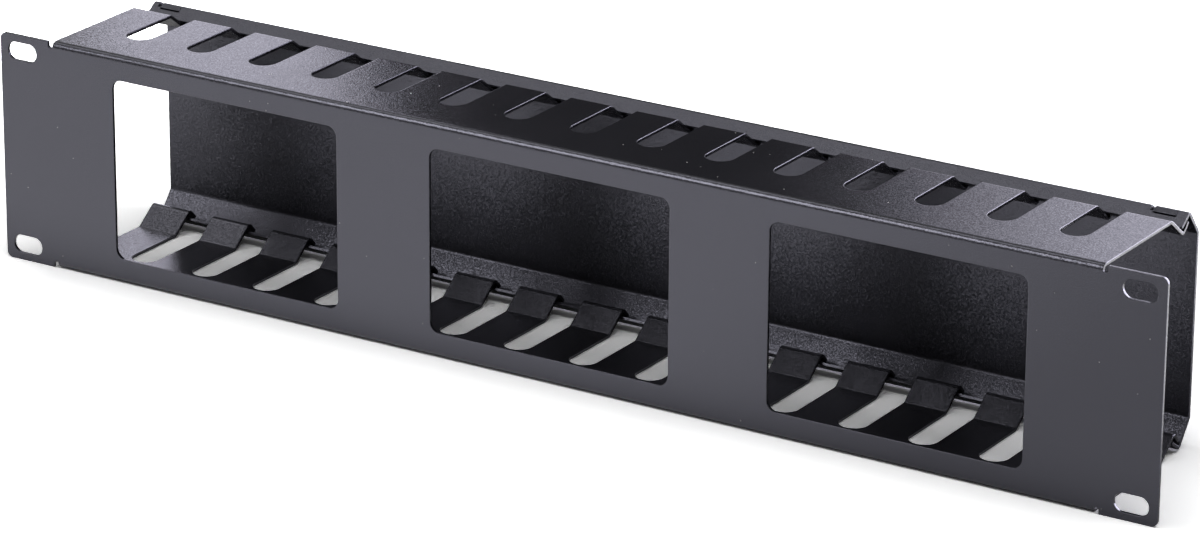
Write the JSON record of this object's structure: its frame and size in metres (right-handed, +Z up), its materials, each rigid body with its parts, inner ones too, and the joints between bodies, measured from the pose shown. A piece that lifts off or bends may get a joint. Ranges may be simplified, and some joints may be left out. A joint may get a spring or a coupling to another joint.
{
  "type": "horizontal cable manager",
  "caption": "Two-unit rack cable duct folded from sheet steel: slotted panel with square cable windows, rows of catch-ended fingers above and below, and a hooked cover.",
  "frame": {"origin": "centre of the rack slots' pattern, on the face of the plate that bolts to the rack", "axes": "+X along the length, +Y from the mounting face to the cover, +Z up"},
  "size_m": [0.4826, 0.0725, 0.0888],
  "materials": {
    "panel_coat": "satin black powder coat with a fine texture",
    "cover_coat": "satin black powder coat with a fine texture"
  },
  "bodies": {
    "panel": {"finger_panel": "panel_coat"},
    "front_cover": {"cover": "cover_coat"}
  },
  "joints": [
    {"name": "cover_slide", "type": "slide", "parent": "panel", "child": "front_cover", "axis": [1, 0, 0], "range_m": [0, 0.45]}
  ]
}
